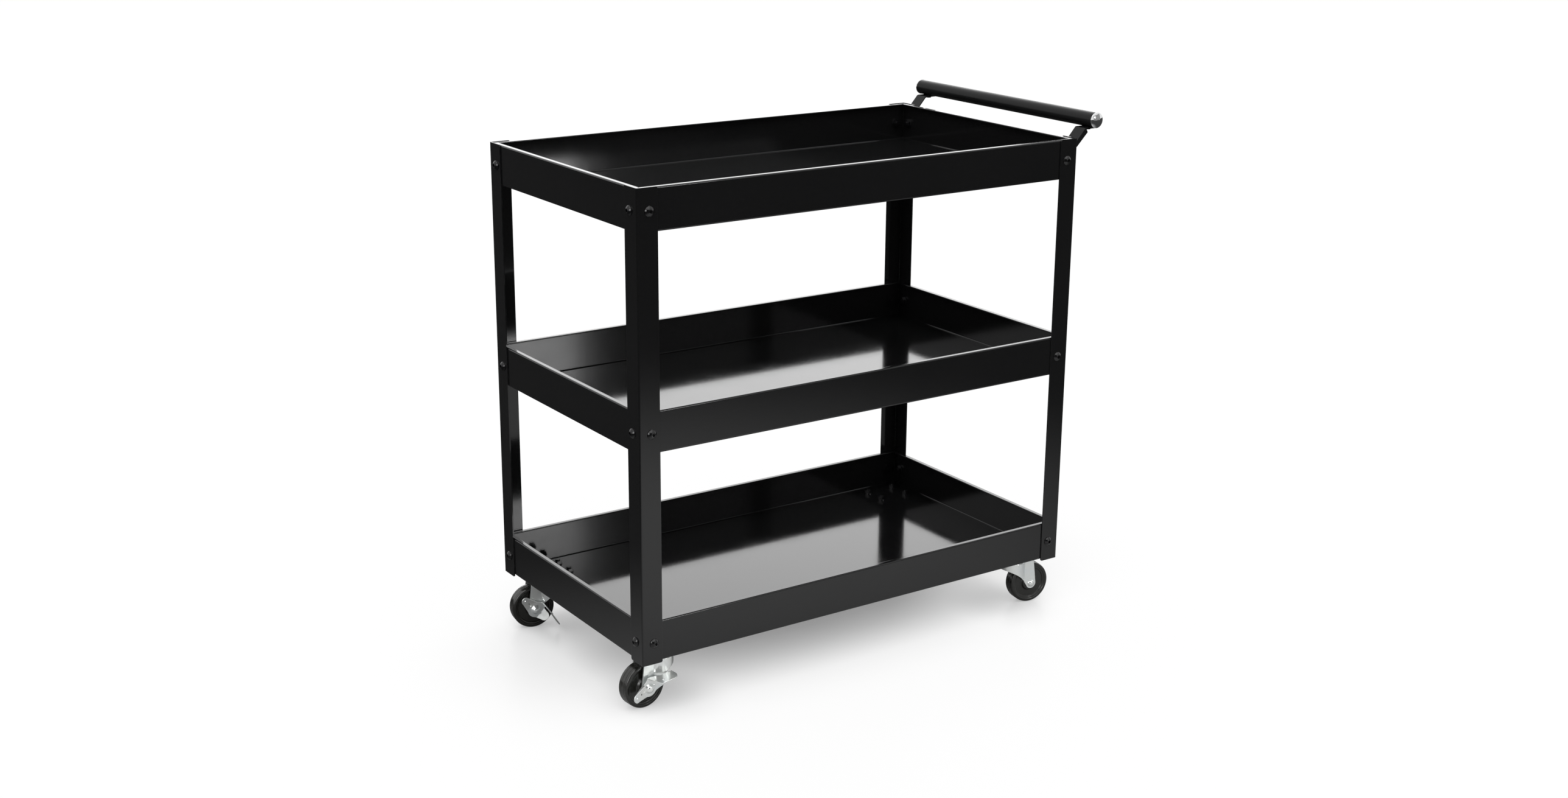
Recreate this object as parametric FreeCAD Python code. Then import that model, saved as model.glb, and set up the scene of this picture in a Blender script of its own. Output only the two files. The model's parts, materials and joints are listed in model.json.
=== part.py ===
import FreeCAD, Part
import math
import os

# Three-shelf steel utility cart on four swivel casters, in millimetres.
# X runs along the cart and +X is the handle end, Y runs across it and Z is up.
# The origin lies on the floor below the middle of the whole cart's envelope.

V = FreeCAD.Vector
UP = V(0, 0, 1)

# Driving dimensions of the frame
cart_length = 856.0
cart_width = 480.0
post_height = 756.0
post_flange = 36.0
post_sheet = 2.0
post_bend_radius = 2.5
post_corner_radius = 3.0

# Trays
tray_height = 67.0
tray_rise = 3.0
tray_top_gap = 1.0
tray_count = 3
tray_sheet = 1.2
tray_bend_radius = 3.0
rim_width = 9.0
rim_bend_radius = 2.4
rim_hem = 6.0
hem_round_share = 0.9
seam_gap = 0.8

# Bolts that hold the trays to the posts, and their nuts
bolt_radius = 4.0
bolt_hole_clearance = 0.3
bolt_edge = 21.4
bolt_level = 32.0
bolt_head_radius = 8.0
bolt_head_height = 4.6
bolt_head_rim = 0.9
bolt_flat_share = 0.45
dome_flat_share = 0.12
bolt_socket_flats = 5.0
bolt_socket_depth = 2.4
bolt_tip = 2.5
nut_flats = 13.0
nut_height = 6.4
nut_flange_radius = 8.2
nut_flange_height = 1.6
thread_clearance = 0.05

# Handle across the +X end
handle_radius = 12.9
handle_wall = 1.5
handle_setback = 1.0
handle_offset = 41.5
handle_rise = 26.6
cap_radius = 13.2
cap_rim = 1.2
cap_dome = 3.2
cap_plug_length = 12.0
cap_plug_clearance = 0.05

# Brackets between the handle and the end posts
bracket_width = 25.0
bracket_sheet = 2.0
bracket_foot_low = 15.0
bracket_foot_rise = 8.0
bracket_bend_radius = 4.0
bracket_corner_radius = 5.0
bracket_arm_angle = 45.0
bracket_rib = 6.0
bracket_rib_start_share = 0.3
bracket_rib_end_share = 0.4
bracket_pad_length = 21.0
handle_screw_radius = 2.5
handle_screw_head_radius = 4.75
handle_screw_head_height = 2.7
handle_screw_reach = 4.0
handle_screw_clearance = 0.05

# Casters: places and top plates
caster_inset_x = 58.0
caster_inset_y = 53.0
caster_height = 95.0
plate_length = 84.0
plate_width = 64.0
plate_sheet = 2.5
plate_corner_radius = 5.0
plate_bolts_x = 58.0
plate_bolts_y = 42.0
plate_slot = 3.0
plate_bolt_head_height = 4.0
race_depth = 9.2
race_wall = 2.2
race_gap = 0.3
race_past_bolts = 4.0

# Kingpins
kingpin_radius = 5.5
kingpin_collar_radius = 10.0
kingpin_head_radius = 9.5
kingpin_head_height = 3.2
kingpin_clearance = 0.08

# Forks
fork_sheet = 2.3
fork_half_gap = 13.7
fork_drum_short = 18.6
fork_skirt = 13.0
fork_lobe_radius = 9.6
fork_lobe_front_angle = 218.0
fork_lobe_rear_angle = 8.0
fork_rear_lean = 4.1
fork_web_short = 6.5
fork_bend_radius = 3.0
fork_sweep_across = 27.0
fork_sweep_drop = 12.0
axle_radius = 4.0
axle_clearance = 0.05
axle_head_radius = 6.6
axle_head_height = 4.2
axle_head_rim = 0.6
axle_nut_flats = 13.0
axle_nut_height = 6.5
axle_end = 1.5

# Wheels
wheel_crown_gap = 5.7
wheel_past_kingpin = 5.0
wheel_width = 22.5
wheel_shoulder = 3.0
wheel_tread_depth = 6.5
wheel_recess_step = 3.5
wheel_recess = 3.2
hub_radius = 12.0
hub_width = 25.6
bush_radius = 6.5
bush_end_gap = 0.3

# Side brakes on the two casters away from the handle
brake_sheet = 1.8
brake_cam_radius = 8.5
brake_cam_height = 4.5
brake_cam_flat_share = 0.8
brake_gap = 0.3
brake_pivot_radius = 5.5
brake_hub_radius = 14.0
brake_boss_radius = 8.4
brake_boss_height = 2.4
brake_boss_top_share = 0.72
brake_toe_inset = 2.5
brake_toe_radius = 7.0
brake_toe_slope = 0.3
brake_toe_rise_share = 0.3
brake_lip = 3.0
brake_rivet_share = 0.8
brake_hole_radius = 1.4
brake_hole_along_share = 0.5
brake_hole_side_share = 0.1
brake_heel_share = 0.72
brake_heel_gap = 1.5
brake_heel_width = 17.0
brake_pedal_reach_share = 1.2
brake_pedal_width = 30.0
brake_pedal_height = 17.5
brake_pedal_drop = 12.0
brake_pedal_gap = 2.4
brake_pedal_near = -4.0
brake_pedal_corner = 12.0
brake_ring_along_share = 0.38
brake_ring_out_share = 0.72
brake_root_share = 0.45
brake_edge_share = 0.85
brake_crease_share = 0.8
brake_stud_radius = 2.2
brake_stud_top_share = 0.7
brake_stud_height = 1.2
brake_stud_place_share = 0.76

# How each caster stands at rest: side along X, side along Y, swivel and brake turn in degrees
CASTERS = {
    "front_left": (-1, -1, 185.0, -22.0),
    "back_left": (-1, 1, 171.0, 42.0),
    "front_right": (1, -1, 350.0, None),
    "back_right": (1, 1, 12.0, None),
}

# One overrun serves every cut, and one closeness finds edges by their place
over = 5.0
near = 1e-4

# Levels and places that follow from the sizes above
tray_base = caster_height
tray_pitch = (post_height - tray_rise - tray_height - tray_top_gap) / (tray_count - 1)
post_base = tray_base - tray_rise
post_top = post_base + post_height
half_length = cart_length / 2
half_width = cart_width / 2
tray_length = cart_length - 2 * post_sheet
tray_width = cart_width - 2 * post_sheet
kingpin_x = half_length - caster_inset_x
kingpin_y = half_width - caster_inset_y
fork_top = caster_height - plate_sheet - race_depth - race_gap
fork_half_width = fork_half_gap + fork_sheet
wheel_radius = (fork_top - fork_sheet - wheel_crown_gap) / 2
wheel_face_radius = wheel_radius - wheel_tread_depth
wheel_recess_radius = wheel_face_radius - wheel_recess_step
caster_trail = wheel_radius - wheel_past_kingpin
brake_plane = fork_half_width + brake_gap + brake_cam_height
fork_drum_radius = math.hypot(brake_plane, caster_trail - fork_drum_short)
race_radius = plate_bolts_y / 2 + race_past_bolts
fork_crown_reach = caster_trail + fork_rear_lean
fork_web_reach = caster_trail - fork_web_short
axle_z = wheel_radius
brake_toe_length = wheel_radius - brake_toe_inset
brake_heel_length = wheel_radius * brake_heel_share
brake_crease = brake_hub_radius * brake_crease_share
brake_pedal_lift = fork_drum_radius + brake_pedal_gap - brake_plane
brake_heel_rise = fork_drum_radius + brake_heel_gap - brake_plane
brake_pedal_reach = wheel_radius * brake_pedal_reach_share
handle_length = cart_width - 2 * handle_setback
handle_x = half_length + handle_offset
handle_z = post_top + handle_rise
bolt_hole_radius = bolt_radius + bolt_hole_clearance


def wheel_reach(turn):
    """Reach of a caster along X from its kingpin at its rest swivel."""
    lean = abs(math.sin(math.radians(turn)))
    level = abs(math.cos(math.radians(turn)))
    tread_half = wheel_width / 2 - wheel_shoulder
    return (caster_trail + wheel_radius) * level + tread_half * lean


left_reach = kingpin_x + max(wheel_reach(c[2]) for c in CASTERS.values() if c[0] < 0)
right_reach = handle_x + cap_radius
envelope_middle = (right_reach - left_reach) / 2


# Small helpers
def box(x0, y0, z0, x1, y1, z1):
    return Part.makeBox(x1 - x0, y1 - y0, z1 - z0, V(x0, y0, z0))


def rod(radius, start, end):
    return Part.makeCylinder(radius, (end - start).Length, start, end - start)


def face_of(points):
    """A flat face through points; a middle point in a tuple makes an arc to the next point."""
    edges = []
    pen = points[0]
    for item in points[1:] + [points[0]]:
        if isinstance(item, tuple):
            edges.append(Part.Arc(pen, item[0], item[1]).toShape())
            pen = item[1]
        elif (item - pen).Length > near:
            edges.append(Part.makeLine(pen, item))
            pen = item
    return Part.Face(Part.Wire(edges))


def revolve(profile, base, axis):
    return face_of(profile).revolve(base, axis, 360)


def dome(radius, low, flat, high):
    """The arc of a round cap about Z, from its rim up to a small flat at its top."""
    centre = (radius ** 2 + low ** 2 - flat ** 2 - high ** 2) / (2 * (low - high))
    sphere = math.hypot(radius, low - centre)
    mean = (math.atan2(radius, low - centre) + math.atan2(flat, high - centre)) / 2
    return V(sphere * math.sin(mean), 0, centre + sphere * math.cos(mean)), V(flat, 0, high)


def hexagon(flats, height, base, axis):
    """A hexagonal prism across its flats, standing on base along axis."""
    corner = flats / math.sqrt(3)
    points = [V(corner * math.cos(k * math.pi / 3), corner * math.sin(k * math.pi / 3), 0) for k in range(6)]
    prism = face_of(points).extrude(UP * height)
    prism.Placement = FreeCAD.Placement(base, FreeCAD.Rotation(UP, axis))
    return prism


def edges_where(shape, test):
    return [e for e in shape.Edges if test(e)]


def level_edge(edge, level):
    """True for a straight or round edge that lies flat at a level."""
    b = edge.BoundBox
    return b.ZLength < near and abs(b.ZMin - level) < near


def upright_edge(edge):
    b = edge.BoundBox
    return b.XLength < near and b.YLength < near


def fused(shapes):
    return shapes[0].multiFuse(shapes[1:]).removeSplitter()


# Posts
def post(side_x, side_y):
    """One angle post with rounded flange corners and a bolt hole per flange and tray."""
    x, y, t = half_length, half_width, post_sheet
    profile = face_of([
        V(x, y - post_bend_radius, 0), V(x, y - post_flange, 0), V(x - t, y - post_flange, 0),
        V(x - t, y - t, 0), V(x - post_flange, y - t, 0), V(x - post_flange, y, 0),
        V(x - post_bend_radius, y, 0),
        (V(x, y, 0) - V(1, 1, 0) * post_bend_radius * (1 - math.sqrt(0.5)), V(x, y - post_bend_radius, 0)),
    ])
    angle = profile.extrude(UP * post_height)
    angle.translate(UP * post_base)
    angle = round_flange_ends(angle, x, y)
    edge_x = x - bolt_edge
    edge_y = y - bolt_edge
    for level in bolt_levels():
        end_hole = rod(bolt_hole_radius, V(x + over, edge_y, level), V(x - over, edge_y, level))
        side_hole = rod(bolt_hole_radius, V(edge_x, y + over, level), V(edge_x, y - over, level))
        angle = angle.cut(end_hole).cut(side_hole)
    return mirrored(angle, side_x, side_y)


def round_flange_ends(angle, x, y):
    """Rounds the free corners of both flanges at the post's two ends."""
    def free_corner(edge):
        b = edge.BoundBox
        at_end = min(abs(b.ZMin - post_base), abs(b.ZMin - post_top)) < near and b.ZLength < near
        across_x = abs(b.YMin - (y - post_flange)) < near and b.YLength < near
        across_y = abs(b.XMin - (x - post_flange)) < near and b.XLength < near
        return at_end and (across_x or across_y)
    return angle.makeFillet(post_corner_radius, edges_where(angle, free_corner))


def bolt_levels():
    return [tray_base + k * tray_pitch + bolt_level for k in range(tray_count)]


def mirrored(shape, side_x, side_y):
    """The shape made for +X +Y, carried to the corner that the sides name."""
    if side_x < 0:
        shape = shape.mirror(V(0, 0, 0), V(1, 0, 0))
    if side_y < 0:
        shape = shape.mirror(V(0, 0, 0), V(0, 1, 0))
    return shape


# Trays
def rounded_pan(length, width, low, high, low_radius, high_radius):
    """A box with sharp upright corners whose level edges are rounded."""
    pan = box(-length / 2, -width / 2, low, length / 2, width / 2, high)
    pan = pan.makeFillet(low_radius, edges_where(pan, lambda e: level_edge(e, low)))
    return pan.makeFillet(high_radius, edges_where(pan, lambda e: level_edge(e, high)))


def tray(level):
    """A folded tray: floor, four walls and a rim turned in and hemmed under, slit at the corner seams."""
    t = tray_sheet
    top = level + tray_height
    shell = rounded_pan(tray_length, tray_width, level, top, tray_bend_radius, rim_bend_radius)
    hollow = rounded_pan(tray_length - 2 * t, tray_width - 2 * t, level + t, top - t,
                         tray_bend_radius - t, rim_bend_radius - t)
    mouth_x = tray_length / 2 - rim_width
    mouth_y = tray_width / 2 - rim_width
    hem_x = mouth_x + rim_hem
    hem_y = mouth_y + rim_hem
    hem = box(-hem_x, -hem_y, top - 2 * t, hem_x, hem_y, top - t)
    mouth = box(-mouth_x, -mouth_y, top - 2 * t - over, mouth_x, mouth_y, top + over)
    folded = shell.cut(hollow.cut(hem)).cut(mouth)
    hem_edges = edges_where(folded, lambda e: mouth_edge(e, top, mouth_x, mouth_y))
    folded = folded.makeFillet(t * hem_round_share, hem_edges)
    reach = seam_gap / math.sqrt(2)
    seam_base = level + tray_bend_radius
    for side_x in (-1, 1):
        for side_y in (-1, 1):
            corner = V(side_x * tray_length / 2, side_y * tray_width / 2, seam_base)
            inward = V(-side_x, -side_y, 0)
            across = V(-side_x, side_y, 0)
            start = corner - inward * over
            depth = inward * (rim_width + t + over)
            slit = face_of([start + across * reach / 2, start + across * reach / 2 + depth,
                            start - across * reach / 2 + depth, start - across * reach / 2])
            folded = folded.cut(slit.extrude(UP * tray_height))
            folded = folded.cut(wall_holes(side_x, side_y, level + bolt_level))
    return folded


def mouth_edge(edge, top, mouth_x, mouth_y):
    """True for the upper and lower edges of the hem round the mouth."""
    b = edge.BoundBox
    within_x = max(b.XMax, -b.XMin) < mouth_x + near
    within_y = max(b.YMax, -b.YMin) < mouth_y + near
    return within_x and within_y and (level_edge(edge, top) or level_edge(edge, top - 2 * tray_sheet))


def wall_holes(side_x, side_y, level):
    x = side_x * half_length
    y = side_y * half_width
    edge_x = x - side_x * bolt_edge
    edge_y = y - side_y * bolt_edge
    inner_x = x - side_x * 2 * over
    inner_y = y - side_y * 2 * over
    end_hole = rod(bolt_hole_radius, V(x + side_x * over, edge_y, level), V(inner_x, edge_y, level))
    side_hole = rod(bolt_hole_radius, V(edge_x, y + side_y * over, level), V(edge_x, inner_y, level))
    return Part.makeCompound([end_hole, side_hole])


def plate_bolt_places():
    """The kingpin-centred places of the bolts that hold each caster plate."""
    places = []
    for side_x in (-1, 1):
        for side_y in (-1, 1):
            for kx in (-1, 1):
                for ky in (-1, 1):
                    places.append(V(side_x * kingpin_x + kx * plate_bolts_x / 2,
                                    side_y * kingpin_y + ky * plate_bolts_y / 2, 0))
    return places


def bottom_tray():
    low = tray(tray_base)
    for place in plate_bolt_places():
        low = low.cut(rod(bolt_hole_radius, place + UP * (tray_base - over), place + UP * (tray_base + over)))
    return low


# Bolts and nuts
def button_bolt(seat, outward, grip):
    """A domed bolt with a hexagon socket; its head sits on seat and its shank runs inward."""
    r, h = bolt_head_radius, bolt_head_height
    profile = [V(0, 0, -grip), V(bolt_radius, 0, -grip), V(bolt_radius, 0, 0), V(r, 0, 0),
               V(r, 0, bolt_head_rim), dome(r, bolt_head_rim, r * bolt_flat_share, h), V(0, 0, h)]
    bolt = revolve(profile, V(0, 0, 0), UP)
    bolt = bolt.cut(hexagon(bolt_socket_flats, over, V(0, 0, h - bolt_socket_depth), UP))
    bolt.Placement = FreeCAD.Placement(seat, FreeCAD.Rotation(UP, outward))
    return bolt


def flange_nut(seat, outward):
    """A hexagon nut on a round flange, bored for the bolt with a thread clearance."""
    body = hexagon(nut_flats, nut_height, V(0, 0, 0), UP)
    body = body.fuse(Part.makeCylinder(nut_flange_radius, nut_flange_height))
    body = body.cut(rod(bolt_radius + thread_clearance, V(0, 0, -over), V(0, 0, nut_height + over)))
    body.Placement = FreeCAD.Placement(seat, FreeCAD.Rotation(UP, outward))
    return body


def tray_fasteners(level):
    """Eight bolts and eight nuts of one tray, two at each post."""
    bolts = []
    nuts = []
    for side_x in (-1, 1):
        for side_y in (-1, 1):
            under_head = bracket_sheet if side_x > 0 and level > post_top - tray_height else 0
            ends = [(V(side_x * (half_length + under_head), side_y * (half_width - bolt_edge), level),
                     V(side_x, 0, 0), under_head),
                    (V(side_x * (half_length - bolt_edge), side_y * half_width, level), V(0, side_y, 0), 0)]
            for seat, outward, extra in ends:
                stack = post_sheet + tray_sheet + extra
                bolts.append(button_bolt(seat, outward, stack + nut_height + bolt_tip))
                nuts.append(flange_nut(seat - outward * stack, outward * -1))
    return bolts, nuts


def plate_fasteners():
    """Hexagon bolts up through the caster plates and nuts on the bottom tray's floor."""
    bolts = []
    nuts = []
    underside = tray_base - plate_sheet
    for place in plate_bolt_places():
        seat = place + UP * underside
        stack = plate_sheet + tray_sheet
        head = hexagon(nut_flats, plate_bolt_head_height, seat, UP * -1)
        shank = rod(bolt_radius, seat, seat + UP * (stack + nut_height + bolt_tip))
        bolts.append(head.fuse(shank))
        nuts.append(flange_nut(seat + UP * stack, UP))
    return bolts, nuts


# Handle
def handle_tube():
    start = V(handle_x, -handle_length / 2, handle_z)
    end = V(handle_x, handle_length / 2, handle_z)
    outer = rod(handle_radius, start, end)
    inner = rod(handle_radius - handle_wall, start - V(0, over, 0), end + V(0, over, 0))
    tube = outer.cut(inner)
    for side_y in (-1, 1):
        y = side_y * (half_width - bolt_edge)
        low = V(handle_x, y, handle_z - handle_radius - over)
        hole = rod(handle_screw_radius + handle_screw_clearance, low, V(handle_x, y, handle_z))
        tube = tube.cut(hole)
    return tube


def handle_cap(side_y):
    """A domed end cap whose hollow plug sits inside the tube."""
    plug = handle_radius - handle_wall - cap_plug_clearance
    rim = cap_rim
    top = cap_rim + cap_dome
    profile = [V(0, 0, -cap_plug_length), V(plug, 0, -cap_plug_length), V(plug, 0, 0), V(cap_radius, 0, 0),
               V(cap_radius, 0, rim), dome(cap_radius, rim, cap_radius * dome_flat_share, top), V(0, 0, top)]
    cap = revolve(profile, V(0, 0, 0), UP)
    seat = V(handle_x, side_y * handle_length / 2, handle_z)
    cap.Placement = FreeCAD.Placement(seat, FreeCAD.Rotation(UP, V(0, side_y, 0)))
    return cap


def bracket_path():
    """The strap's inner line: up the post, out along the arm and level below the tube."""
    pad_z = handle_z - handle_radius - bracket_sheet
    foot_x = half_length
    foot_top = post_top - bracket_foot_rise - bracket_sheet - bracket_bend_radius
    foot_low = bolt_levels()[-1] - bracket_foot_low
    pad_start = foot_x + (pad_z - foot_top) / math.tan(math.radians(bracket_arm_angle))
    pad_end = handle_x + bracket_pad_length / 2
    return [V(foot_x, 0, foot_low), V(foot_x, 0, foot_top), V(pad_start, 0, pad_z), V(pad_end, 0, pad_z)]


def handle_bracket(side_y):
    """A bent strap with a stiffening flange along the arm's outer edge."""
    foot, knee, bend, end = bracket_path()
    t = bracket_sheet
    k = t * math.tan(math.radians(bracket_arm_angle / 2))
    half = bracket_width / 2
    inner_line = [foot, knee, bend + V(-k, 0, t), end + V(0, 0, t)]
    outer_line = [end, bend, knee + V(t, 0, -k), foot + V(t, 0, 0)]
    strap = face_of(inner_line + outer_line).extrude(V(0, bracket_width, 0))
    strap.translate(V(0, -half, 0))

    def bend_edge(edge):
        b = edge.BoundBox
        at_knee = abs(b.ZMin - knee.z) < t and b.XMax < half_length + 2 * t
        at_bend = abs(b.XMin - bend.x) < 2 * t and abs(b.ZMin - bend.z) < 2 * t
        return b.XLength < near and b.ZLength < near and (at_knee or at_bend)
    strap = strap.makeFillet(bracket_bend_radius, edges_where(strap, bend_edge))

    def corner_edge(edge):
        b = edge.BoundBox
        foot_end = abs(b.ZMin - foot.z) < near and b.ZLength < near
        pad_end = abs(b.XMin - end.x) < near and b.XLength < near
        return b.YLength < near and (foot_end or pad_end)
    strap = strap.makeFillet(bracket_corner_radius, edges_where(strap, corner_edge))
    strap = strap.fuse(bracket_rib_plate(knee, bend))
    strap = strap.cut(rod(bolt_hole_radius, V(half_length - over, 0, bolt_levels()[-1]),
                          V(half_length + 2 * over, 0, bolt_levels()[-1])))
    hole = rod(handle_screw_radius + handle_screw_clearance, V(handle_x, 0, bend.z - over),
               V(handle_x, 0, bend.z + over))
    strap = strap.cut(hole).removeSplitter()
    if side_y < 0:
        strap = strap.mirror(V(0, 0, 0), V(0, 1, 0))
    strap.translate(V(0, side_y * (half_width - bolt_edge), 0))
    return strap


def bracket_rib_plate(knee, bend):
    """The flange that hangs from the arm's outer edge, tapered off at both ends."""
    t = bracket_sheet
    along = (bend - knee).normalize()
    below = V(along.z, 0, -along.x)
    start = knee + V(t, 0, 0)
    finish = bend + along * t
    length = (finish - start).Length
    points = [start, start + below * bracket_rib + along * bracket_rib * bracket_rib_start_share,
              start + below * bracket_rib + along * (length - bracket_rib * bracket_rib_end_share), finish]
    plate = face_of(points).extrude(V(0, t, 0))
    plate.translate(V(0, bracket_width / 2 - t, 0))
    return plate


def handle_screws():
    screws = []
    pad_z = handle_z - handle_radius - bracket_sheet
    for side_y in (-1, 1):
        y = side_y * (half_width - bolt_edge)
        seat = V(handle_x, y, pad_z)
        head = rod(handle_screw_head_radius, seat, seat - UP * handle_screw_head_height)
        shank = rod(handle_screw_radius, seat, seat + UP * (bracket_sheet + handle_wall + handle_screw_reach))
        screws.append(head.fuse(shank))
    return screws


# Casters, made with the kingpin on the Z axis and the wheel trailing along +X
def caster_plate():
    """The top plate with slotted holes and the drawn cup that holds the upper ball race."""
    half_x = plate_length / 2
    half_y = plate_width / 2
    top = caster_height
    plate = box(-half_x, -half_y, top - plate_sheet, half_x, half_y, top)
    plate = plate.makeFillet(plate_corner_radius, edges_where(plate, upright_edge))
    for kx in (-1, 1):
        for ky in (-1, 1):
            centre = V(kx * plate_bolts_x / 2, ky * plate_bolts_y / 2, top)
            plate = plate.cut(slot(centre, bolt_hole_radius, plate_slot))
    low = top - plate_sheet - race_depth
    cup = Part.makeCone(race_radius, race_radius - race_wall, race_depth, V(0, 0, top - plate_sheet), UP * -1)
    well = Part.makeCylinder(race_radius - 2 * race_wall, race_depth, V(0, 0, low))
    plate = plate.fuse(cup.cut(well))
    neck = Part.makeCylinder(kingpin_radius + kingpin_clearance, caster_height, V(0, 0, low - over))
    return plate.cut(neck).removeSplitter()


def slot(centre, radius, length):
    """An upright slot along X with round ends."""
    middle = box(-length / 2, -radius, -2 * over, length / 2, radius, over)
    ends = [rod(radius, V(k * length / 2, 0, -2 * over), V(k * length / 2, 0, over)) for k in (-1, 1)]
    cutter = middle.multiFuse(ends)
    cutter.translate(centre)
    return cutter


def kingpin():
    """The pin: flush in the plate, with a collar above the fork's crown and a head below it."""
    plate_under = caster_height - plate_sheet
    crown_over = fork_top + race_gap
    head_top = fork_top - fork_sheet - race_gap
    head_low = head_top - kingpin_head_height
    r = kingpin_radius
    profile = [V(0, 0, head_low), V(kingpin_head_radius, 0, head_low),
               V(kingpin_head_radius, 0, head_top), V(r, 0, head_top), V(r, 0, crown_over),
               V(kingpin_collar_radius, 0, crown_over), V(kingpin_collar_radius, 0, plate_under),
               V(r, 0, plate_under), V(r, 0, caster_height), V(0, 0, caster_height)]
    return revolve(profile, V(0, 0, 0), UP)


def fork():
    """The stamped fork: a round crown that runs back into two flat legs, cut by a swept line."""
    outer = crown_solid(fork_drum_radius, fork_half_width, fork_top, fork_bend_radius)
    inner = crown_solid(fork_drum_radius - fork_sheet, fork_half_gap, fork_top - fork_sheet,
                        fork_bend_radius - fork_sheet)
    rear = 2 * caster_trail + over
    inner = inner.fuse(box(0, -fork_half_gap, 0, rear, fork_half_gap, fork_top - fork_sheet))
    shell = outer.cut(inner)
    shell = shell.common(side_cut())
    web = box(fork_web_reach, -fork_half_gap, 0, rear, fork_half_gap, fork_top + over)
    shell = shell.cut(web)
    shell = shell.cut(rod(kingpin_radius + kingpin_clearance, V(0, 0, 0), V(0, 0, fork_top + over)))
    shell = shell.cut(rod(axle_radius + axle_clearance, V(caster_trail, -2 * fork_half_width, axle_z),
                          V(caster_trail, 2 * fork_half_width, axle_z)))
    return shell.removeSplitter()


def crown_solid(radius, half, top, bend):
    """The fork's plan outline drawn up to its crown, its top edge rounded."""
    meet = math.sqrt(radius ** 2 - half ** 2)
    rear = 2 * caster_trail
    outline = face_of([V(meet, half, 0), V(rear, half, 0), V(rear, -half, 0), V(meet, -half, 0),
                       (V(-radius, 0, 0), V(meet, half, 0))])
    solid = outline.extrude(UP * top)
    if bend > fork_sheet / 2:
        solid = solid.makeFillet(bend, edges_where(solid, lambda e: level_edge(e, top)))
    return solid


def side_cut():
    """The fork seen from its side: skirt, swept front line, axle lobe and rear edge."""
    axle = V(caster_trail, 0, axle_z)
    front = V(-fork_drum_radius - over, 0, fork_top - fork_skirt)
    sweep_start = V(-fork_drum_radius, 0, fork_top - fork_skirt)
    sweep_end = lobe_point(axle, fork_lobe_front_angle)
    sweep_middle = V(sweep_start.x + fork_sweep_across, 0, sweep_start.z - fork_sweep_drop)
    rear = lobe_point(axle, fork_lobe_rear_angle)
    lobe = axle - UP * fork_lobe_radius
    crown_rear = V(fork_crown_reach, 0, fork_top)
    outline = [V(front.x, 0, fork_top + over), front, sweep_start, (sweep_middle, sweep_end), (lobe, rear),
               crown_rear, crown_rear + UP * over]
    side = face_of(outline).extrude(V(0, 4 * fork_half_width, 0))
    side.translate(V(0, -2 * fork_half_width, 0))
    return side


def lobe_point(axle, angle):
    """A point of the round lobe about the axle, by its angle in degrees above the rearward line."""
    turn = math.radians(angle)
    return axle + V(math.cos(turn), 0, math.sin(turn)) * fork_lobe_radius


def wheel():
    """The moulded wheel: tread with shoulders, a sunk ring on each face and a hub."""
    half = wheel_width / 2
    sunk = half - wheel_recess
    hub = hub_width / 2
    side = [V(wheel_radius - wheel_shoulder / 2, 0, half), V(wheel_face_radius, 0, half),
            V(wheel_recess_radius, 0, sunk), V(hub_radius + wheel_recess, 0, sunk), V(hub_radius, 0, hub),
            V(bush_radius, 0, hub)]
    tread = V(wheel_radius, 0, half - wheel_shoulder)
    flip = [V(p.x, 0, -p.z) for p in side]
    profile = [tread] + side + flip[::-1] + [V(tread.x, 0, -tread.z)]
    body = revolve(profile, V(0, 0, 0), UP)
    return across(body)


def wheel_bush():
    """The plain steel bush pressed into the hub, which turns on the axle."""
    length = hub_width
    tube = Part.makeCylinder(bush_radius, length, V(0, 0, -length / 2))
    bore = Part.makeCylinder(axle_radius + axle_clearance, length + 2 * over, V(0, 0, -length / 2 - over))
    return across(tube.cut(bore))


def across(shape):
    """Lays a shape made about Z across the fork at the axle."""
    shape.Placement = FreeCAD.Placement(V(caster_trail, 0, axle_z), FreeCAD.Rotation(UP, V(0, 1, 0)))
    return shape


def axle_bolt(side, stack):
    """A domed axle bolt: head over the stack of that side, nut on the other leg."""
    head_seat = fork_half_width + stack
    nut_seat = -fork_half_width
    end = nut_seat - axle_nut_height - axle_end
    r, h = axle_head_radius, axle_head_height
    profile = [V(0, 0, end), V(axle_radius, 0, end), V(axle_radius, 0, fork_half_width)]
    if stack > 0:
        profile += [V(brake_pivot_radius, 0, fork_half_width), V(brake_pivot_radius, 0, head_seat)]
    top = head_seat + h
    profile += [V(r, 0, head_seat), V(r, 0, head_seat + axle_head_rim),
                dome(r, head_seat + axle_head_rim, r * dome_flat_share, top), V(0, 0, top)]
    bolt = revolve(profile, V(0, 0, 0), UP)
    return turned(bolt, side)


def axle_nut(side):
    nut = hexagon(axle_nut_flats, axle_nut_height, V(0, 0, -fork_half_width), UP * -1)
    bore = rod(axle_radius + thread_clearance, V(0, 0, 0), V(0, 0, -2 * fork_half_width - over))
    return turned(nut.cut(bore), side)


def turned(shape, side):
    """Lays an axle piece across the fork with its head on the side that is named."""
    shape = shape.copy()
    lying = FreeCAD.Placement(V(caster_trail, 0, axle_z), FreeCAD.Rotation(UP, V(0, side, 0)))
    shape.Placement = lying.multiply(shape.Placement)
    return shape


# Side brake, drawn flat about the axle: its toe along +X, its heel along -X and its face up Z
def brake_cam():
    """The cam that the lever turns against the fork's leg, with two flats."""
    base = fork_half_width + brake_gap
    cam = Part.makeCylinder(brake_cam_radius, brake_cam_height, V(0, 0, base))
    flat = brake_cam_radius * brake_cam_flat_share
    cam = cam.common(box(-brake_cam_radius, -flat, base, brake_cam_radius, flat, base + brake_cam_height))
    bore = rod(brake_pivot_radius + axle_clearance, V(0, 0, 0), UP * (base + brake_cam_height + over))
    return cam.cut(bore)


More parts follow.
